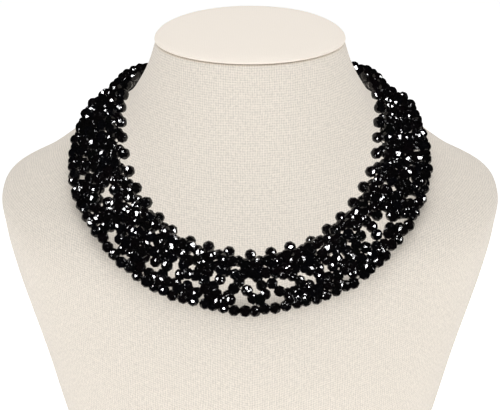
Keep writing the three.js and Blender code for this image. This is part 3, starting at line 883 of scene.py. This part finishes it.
def weave_places():
    """Part, across, raised and yaw of the rows' beads, between the two edge strings.

    Rows repeat with the picots, then with the lattice, and a loose top layer lies over the lattice.
    The lattice and its top layer leave out the front.
    """
    rng = np.random.default_rng(bpy.context.scene.beads.seed)
    lattice = round(WOVEN_LENGTH / LATTICE_PITCH)
    rows = []
    for count, table, share in (
            (PICOTS, PICOT_ROWS, 1.0), (lattice, LATTICE_ROWS, 1.0), (lattice, TOP_ROWS, TOP_SHARE)):
        for phase, across, raised in table:
            part = even_row(across, count, phase)
            along = (part - 0.5) * WOVEN_LENGTH
            left = FRONT_FROM[0] + (FRONT_FROM[1] - across) * FRONT_FROM[2]
            inside = (along > left) & (along < FRONT_TO) & (count != PICOTS)
            if table is TOP_ROWS:
                inside |= np.abs(along) > TOP_END
            kept = ~inside & (rng.uniform(0, 1, len(part)) < share)
            beads = np.count_nonzero(kept)
            rows.append((part[kept], np.full(beads, across), np.full(beads, raised)))
    part, across, raised = (np.concatenate(column) for column in zip(*rows))
    return part, on_band(across, part), raised, woven_yaw(rng, len(part))


def woven_yaw(rng, count):
    """Turns of woven beads in the skin: the thread runs across the band to one side or the other."""
    turn, spread = WOVEN_TURN
    return rng.choice([-1, 1], count) * np.radians(turn) + rng.normal(0, spread, count)


def front_places():
    """Part, across, raised and yaw of the front's legs and posts, from their table."""
    along, across, raised = np.array(FRONT_BEADS).T
    part = 0.5 + along / WOVEN_LENGTH
    return part, on_band(across, part), raised, woven_yaw(draws("front turns"), len(part))


def end_places():
    """Part, across, raised and yaw of the beads beside the clasp, the same at both ends."""
    near = END_BEAD_ROOM / WOVEN_LENGTH
    part, across = (grid.ravel() for grid in np.meshgrid((near, 1 - near), END_ACROSS))
    return part, on_band(across, part), np.full(len(part), END_LIFT), np.zeros(len(part))


def open_weave(centres, radius):
    """Centres pushed out of the openings, each opening an ellipse grown by the bead's radius.

    A centre inside one moves away from its middle, within the skin's plane, to the ellipse's rim.
    """
    pitch = WOVEN_LENGTH / COLUMNS
    columns = (np.arange(COLUMNS) - COLUMNS // 2) * pitch
    columns = columns[(np.abs(columns) > BACK_START) & (np.abs(columns) < WOVEN_LENGTH / 2 - pitch / 2)]
    table = np.vstack([OPENINGS, [(column, *BACK_OPENING) for column in columns]])
    part = 0.5 + table[:, 0] / WOVEN_LENGTH
    raised = np.full(len(part), LIE_GAP + radius)
    middles, axes = collar_spots(part, on_band(table[:, 1], part), raised)
    half = table[:, 2:] + radius * OPENING_ROOM
    for middle, turned, size in zip(middles, axes, half):
        away = (centres - middle) @ turned
        depth = np.linalg.norm(away[:, :2] / size, axis=1)
        inside = (depth < 1) & (np.abs(away[:, 2]) < 2 * radius)
        rim = away[inside, :2] / np.maximum(depth[inside], NEAREST_DEPTH)[:, None]
        flat = rim - away[inside, :2]
        centres[inside] += flat @ turned[:, :2].T
    return centres


def spaced(centres, others):
    """True for each centre that isn't crowded by an earlier one or by one of the others."""
    gaps = np.linalg.norm(centres[:, None, :] - centres[None, :, :], axis=-1)
    near = np.tril(gaps < CROWDED, -1).any(axis=1)
    to_others = np.linalg.norm(centres[:, None, :] - others[None, :, :], axis=-1)
    return ~near & (to_others.min(axis=1) > CROWDED)


def thread_tubes(centres, radius):
    """Points and faces of straight thread between each bead and its nearest neighbours, in mm.

    Two beads are joined where either is among the other's nearest and they lie within reach. A
    tube is a ring of points about each end, square to the line between them, with flat ends.
    """
    gaps = np.linalg.norm(centres[:, None, :] - centres[None, :, :], axis=-1)
    np.fill_diagonal(gaps, np.inf)
    near = np.argsort(gaps, axis=1)[:, :THREAD_LINKS]
    joined = np.zeros(gaps.shape, bool)
    joined[np.arange(len(centres))[:, None], near] = True
    joined = np.triu(joined | joined.T) & (gaps < THREAD_REACH)
    start, end = np.nonzero(joined)
    along = unit(centres[end] - centres[start])
    other = np.where(np.abs(along[:, 2:]) < 0.9, [[0.0, 0.0, 1.0]], [[1.0, 0.0, 0.0]])
    side = unit(np.cross(along, other))
    rise = np.cross(along, side)
    sides = THREAD_SIDES
    turn = (np.arange(sides) * 2 * np.pi / sides)[None, :, None]
    ring = radius * (side[:, None, :] * np.cos(turn) + rise[:, None, :] * np.sin(turn))
    points = np.stack([centres[start][:, None, :] + ring, centres[end][:, None, :] + ring], axis=1)
    k = np.arange(sides)
    after = (k + 1) % sides
    walls = np.stack([k, after, after + sides, k + sides], axis=1)
    caps = np.vstack([k[::-1], k + sides])
    starts = np.arange(len(start))[:, None, None] * 2 * sides
    faces = (walls[None] + starts).reshape(-1, 4).tolist()
    faces += (caps[None] + starts).reshape(-1, sides).tolist()
    return points.reshape(-1, 3), faces


class BUST_OT_linen_cover(bpy.types.Operator):
    """Stretch the linen over the bust, with its threads measured along the skin"""

    bl_idname = "neck_bust.linen_cover"
    bl_label = "Linen Cover"

    def execute(self, context):
        """Grid of the skin in angle and station, with a folded edge above and a turned edge below.

        The cloth coordinates are the length round each ring from the front and the length down
        each column from the seam, so the threads keep their pitch. They part at the back seam.
        """
        settings = context.scene.linen
        angle = np.linspace(-np.pi, np.pi, COVER_COLUMNS + 1)
        station = np.linspace(0, LAST_SECTION, COVER_ROWS)
        skin = bust_point(angle[None, :], station[:, None])
        top, lowest = skin[:1], skin[-1:]
        top_out, low_out = (unit(ring * (1, 1, 0)) for ring in (top, lowest))
        folded = [top - top_out * inset - (0, 0, fall) for inset, fall in COVER_FOLD]
        turned = [lowest - low_out * inset + (0, 0, rise) for inset, rise in COVER_TURN]
        grid = np.concatenate([*folded, skin[1:-1], *turned])
        flat = grid.reshape(-1, 3)
        around = walked(grid, 1)
        around -= around[:, COVER_COLUMNS // 2, None]
        uv = np.stack([around, -walked(grid)], axis=-1).reshape(-1, 2)
        columns = COVER_COLUMNS + 1
        k = np.arange(COVER_COLUMNS)
        low = k + (len(grid) - 1) * columns
        faces = cut_grid_faces(len(grid), columns)
        faces += fan_faces(k, k + 1, len(flat)) + fan_faces(low + 1, low, len(flat) + 1)
        points = np.vstack([flat, [(0, 0, seam_height(0.0)), (0, 0, 0)]])
        uv = np.vstack([uv, COVER_MIDDLES])
        cover = make_object("linen_cover", points, faces,
                            linen_material("linen", settings.cloth_color, settings), uv=uv)
        face_outwards(cover)
        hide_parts("bust_body")
        return {"FINISHED"}


class BUST_OT_neck_pad(bpy.types.Operator):
    """Lay the padded linen disc on top of the neck"""

    bl_idname = "neck_bust.neck_pad"
    bl_label = "Neck Pad"

    def execute(self, context):
        """Outline of the neck scaled by a profile of reach and height, closed at its middles.

        A sum of three sines of the angle keeps the padding from being even.
        """
        settings = context.scene.linen
        angle = np.linspace(-np.pi, np.pi, CAP_COLUMNS, endpoint=False)
        rim = bust_point(angle, np.zeros(CAP_COLUMNS)) * (1, 1, 0)
        size = np.linalg.norm(rim, axis=1, keepdims=True)
        rim = rim * (size + CAP_OVERHANG) / size
        steps = np.linspace(0, len(CAP_PROFILE) - 1, CAP_STEPS)
        knots = np.arange(len(CAP_PROFILE))
        reach, height = (np.interp(steps, knots, column) for column in zip(*CAP_PROFILE))
        uneven = sum(tall * np.sin(count * angle + turn) for count, turn, tall in CAP_WAVES)
        rise = height[:, None] * CAP_HEIGHT + uneven[None, :] * height[:, None] * reach[:, None]
        grid = np.empty((len(steps), CAP_COLUMNS, 3))
        grid[..., :2] = rim[None, :, :2] * reach[:, None, None]
        grid[..., 2] = seam_height(grid[..., 1]) + CAP_GAP + rise
        flat = grid.reshape(-1, 3)
        bottom = seam_height(0.0) + CAP_GAP
        points = np.vstack([flat, [(0, 0, bottom), (0, 0, bottom + CAP_HEIGHT)]])
        k = np.arange(CAP_COLUMNS)
        after = (k + 1) % CAP_COLUMNS
        last = (len(steps) - 1) * CAP_COLUMNS
        faces = grid_faces(len(steps), CAP_COLUMNS)
        faces += fan_faces(k, after, len(flat)) + fan_faces(last + after, last + k, len(flat) + 1)
        # The cap's linen colour is lighter than the cover's as painted light from above
        # The cloth's threads lie level on top and run on down the rim
        pad = make_object("neck_pad", points, faces,
                          linen_material("cap linen", settings.cap_color_with_painted_light, settings, 0.1),
                          uv=points[:, :2] + points[:, 2:] * (0.3, 0.8))
        face_outwards(pad)
        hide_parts("neck_cap")
        return {"FINISHED"}


class COLLAR_OT_weave(bpy.types.Operator):
    """String and weave the beads of the collar, with the thread between them"""

    bl_idname = "bead_collar.weave"
    bl_label = "Bead Weave"

    def execute(self, context):
        """Edge strings on the two edge lines, the band's rows and the front's legs between them, a
        column of beads at each end, and thread from bead to bead and on to the clasp.
        """
        settings = context.scene.beads
        glass = jet_glass_material("jet glass", settings)
        radius = settings.diameter / MM / 2
        picots = even_row(EDGE_START, PICOTS, 0.0)
        level = np.zeros(len(picots))
        inner = scattered("picots", picots, level, level + PICOT_LIFT, level)
        edge = even_row(FRONT_WIDTH, 0, 0.5, OUTER_PITCH)
        second = np.arange(len(edge)) % 2
        outer = scattered("outer", edge, local_width(edge) - ZIGZAG[0] * second,
                          ZIGZAG[1] * second, ZIGZAG_TURN * (1 - 2 * second))
        legs = scattered("front", *front_places())
        centres, turned = scattered("weave", *weave_places())
        centres = open_weave(centres, radius)
        ends = scattered("ends", *end_places())
        kept = spaced(centres, np.vstack([inner[0], outer[0], legs[0], ends[0]]))
        woven = (np.vstack([centres[kept], legs[0], ends[0]]),
                 np.concatenate([turned[kept], legs[1], ends[1]]))
        make_beads("inner_edge_string", *inner, glass, "inner glass")
        make_beads("outer_edge_string", *outer, glass, "outer glass")
        make_beads("band_beads", *woven, glass, "band glass")
        part, across = np.meshgrid(CLASP_ENDS, np.multiply(CLASP_ANCHORS, local_width(np.zeros(1))))
        anchors, _ = collar_spots(part.ravel(), across.ravel(),
                                  np.full(part.size, LIE_GAP + CLASP_THICKNESS / 2))
        every = np.vstack([inner[0], outer[0], woven[0], anchors])
        points, faces = thread_tubes(every, settings.thread / MM / 2)
        make_object("beading_thread", points, faces, thread_material("thread"))
        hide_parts("inner_edge_beads")
        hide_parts("outer_edge_beads")
        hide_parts("woven_band")
        # These cast no shadow, so the cloth in the openings stays as bright as the open cloth
        for name in ("inner_edge_string", "band_beads", "beading_thread"):
            bpy.data.objects[name].visible_shadow = False
            bpy.data.objects[name].visible_diffuse = False
        return {"FINISHED"}


class COLLAR_OT_clasp(bpy.types.Operator):
    """Give the clasp its black plated metal"""

    bl_idname = "bead_collar.clasp"
    bl_label = "Clasp"

    def execute(self, context):
        """The clasp's solid is kept, and only its material is set."""
        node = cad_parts["clasp"]
        metal = clasp_material("clasp metal")
        if node.material_slots:
            for slot in node.material_slots:
                slot.material = metal
        else:
            node.data.materials.append(metal)
        return {"FINISHED"}


def add_light(context, name, place, size, power, target):
    """Round area light at a place in mm that looks at the target."""
    data = bpy.data.lights.new(name, "AREA")
    data.shape = "DISK"
    data.size = size * MM
    data.energy = power
    lamp = bpy.data.objects.new(name, data)
    context.scene.collection.objects.link(lamp)
    lamp.location = Vector(place) * MM
    lamp.rotation_euler = (target - lamp.location).to_track_quat("-Z", "Y").to_euler()
    lamp.visible_camera = False
    return lamp


def add_floor(context, color):
    """Plain pale disc under the bust that glows a little, so it stays even to its edge."""
    material, tree, shader = start_material("floor")
    shader.inputs["Base Color"].default_value = (*color, 1.0)
    shader.inputs["Roughness"].default_value = 0.9
    shader.inputs["Emission Color"].default_value = (1.0, 1.0, 1.0, 1.0)
    shader.inputs["Emission Strength"].default_value = FLOOR_GLOW
    turn = np.linspace(0, 2 * np.pi, FLOOR_SIDES, endpoint=False)
    ring = np.stack([np.cos(turn), np.sin(turn), np.zeros(FLOOR_SIDES)], axis=-1)
    mesh = bpy.data.meshes.new("floor")
    mesh.from_pydata((ring * FLOOR_RADIUS * MM).tolist(), [], [list(range(FLOOR_SIDES))])
    mesh.materials.append(material)
    floor = bpy.data.objects.new("floor", mesh)
    context.scene.collection.objects.link(floor)
    floor.visible_glossy = False


def add_sky(context, strength):
    """Even light from all round, which the beads don't mirror."""
    world = bpy.data.worlds.new("studio")
    world.use_nodes = True
    sky = world.node_tree.nodes["Background"]
    sky.inputs["Color"].default_value = SKY_COLOR
    sky.inputs["Strength"].default_value = strength
    context.scene.world = world
    world.cycles_visibility.glossy = False


def add_camera(context, target):
    """Camera in front of the bust, raised by VIEW_ELEVATION, that looks at the target."""
    data = bpy.data.cameras.new("camera")
    data.sensor_fit = "HORIZONTAL"
    data.sensor_width = SENSOR_WIDTH
    data.lens = FOCAL_LENGTH
    data.clip_end = FARTHEST_VIEW * MM
    camera = bpy.data.objects.new("camera", data)
    context.scene.collection.objects.link(camera)
    elevation = np.radians(VIEW_ELEVATION)
    away = Vector((0.0, -np.cos(elevation), np.sin(elevation)))
    camera.location = target + away * VIEW_DISTANCE * MM
    camera.rotation_euler = (target - camera.location).to_track_quat("-Z", "Y").to_euler()
    context.scene.camera = camera


class STUDIO_OT_stage(bpy.types.Operator):
    """Lay the floor, set the lights and place the camera"""

    bl_idname = "bead_collar.stage"
    bl_label = "Stage"

    def execute(self, context):
        """Floor, sky and camera, soft lights that shape the cloth and small ones for the glints."""
        settings = context.scene.studio
        target = Vector(VIEW_TARGET) * MM
        add_floor(context, settings.floor_color)
        add_sky(context, settings.sky)
        for index, (place, size, share) in enumerate(SOFT_LIGHTS):
            lamp = add_light(context, f"soft_light_{index}", place, size, settings.key * share, target)
            lamp.visible_glossy = False
        for index, (place, size) in enumerate(SPARK_LIGHTS):
            power = settings.sparkle / len(SPARK_LIGHTS)
            lamp = add_light(context, f"spark_light_{index}", place, size, power, target)
            lamp.visible_diffuse = False
            lamp.visible_transmission = False
        add_camera(context, target)
        context.scene.view_settings.view_transform = "Standard"
        return {"FINISHED"}


class VIEW3D_PT_bead_collar(bpy.types.Panel):
    """Settings and steps of the bead collar"""

    bl_label = "Bead Collar"
    bl_space_type = "VIEW_3D"
    bl_region_type = "UI"
    bl_category = "Bead Collar"

    def draw(self, context):
        """Each group's settings, with the steps that use them."""
        scene = context.scene
        for label, group, steps in (
                ("Linen", scene.linen, (BUST_OT_linen_cover, BUST_OT_neck_pad)),
                ("Beads", scene.beads, (COLLAR_OT_weave, COLLAR_OT_clasp)),
                ("Studio", scene.studio, (STUDIO_OT_stage,))):
            box = self.layout.box()
            box.label(text=label)
            for name in group.__annotations__:
                box.prop(group, name)
            for step in steps:
                box.operator(step.bl_idname)


CLASSES = (
    LinenSettings,
    BeadSettings,
    StudioSettings,
    BUST_OT_linen_cover,
    BUST_OT_neck_pad,
    COLLAR_OT_weave,
    COLLAR_OT_clasp,
    STUDIO_OT_stage,
    VIEW3D_PT_bead_collar,
)


def register():
    """Register the classes and hang the settings on the scene."""
    for item in CLASSES:
        bpy.utils.register_class(item)
    bpy.types.Scene.linen = PointerProperty(type=LinenSettings)
    bpy.types.Scene.beads = PointerProperty(type=BeadSettings)
    bpy.types.Scene.studio = PointerProperty(type=StudioSettings)


def unregister():
    """Take the settings off the scene and unregister the classes."""
    del bpy.types.Scene.linen
    del bpy.types.Scene.beads
    del bpy.types.Scene.studio
    for item in reversed(CLASSES):
        bpy.utils.unregister_class(item)


def main():
    """Make every piece in order."""
    register()
    bpy.ops.bead_collar.stage()
    bpy.ops.neck_bust.linen_cover()
    bpy.ops.neck_bust.neck_pad()
    bpy.ops.bead_collar.weave()
    bpy.ops.bead_collar.clasp()


if __name__ == "__main__":
    main()
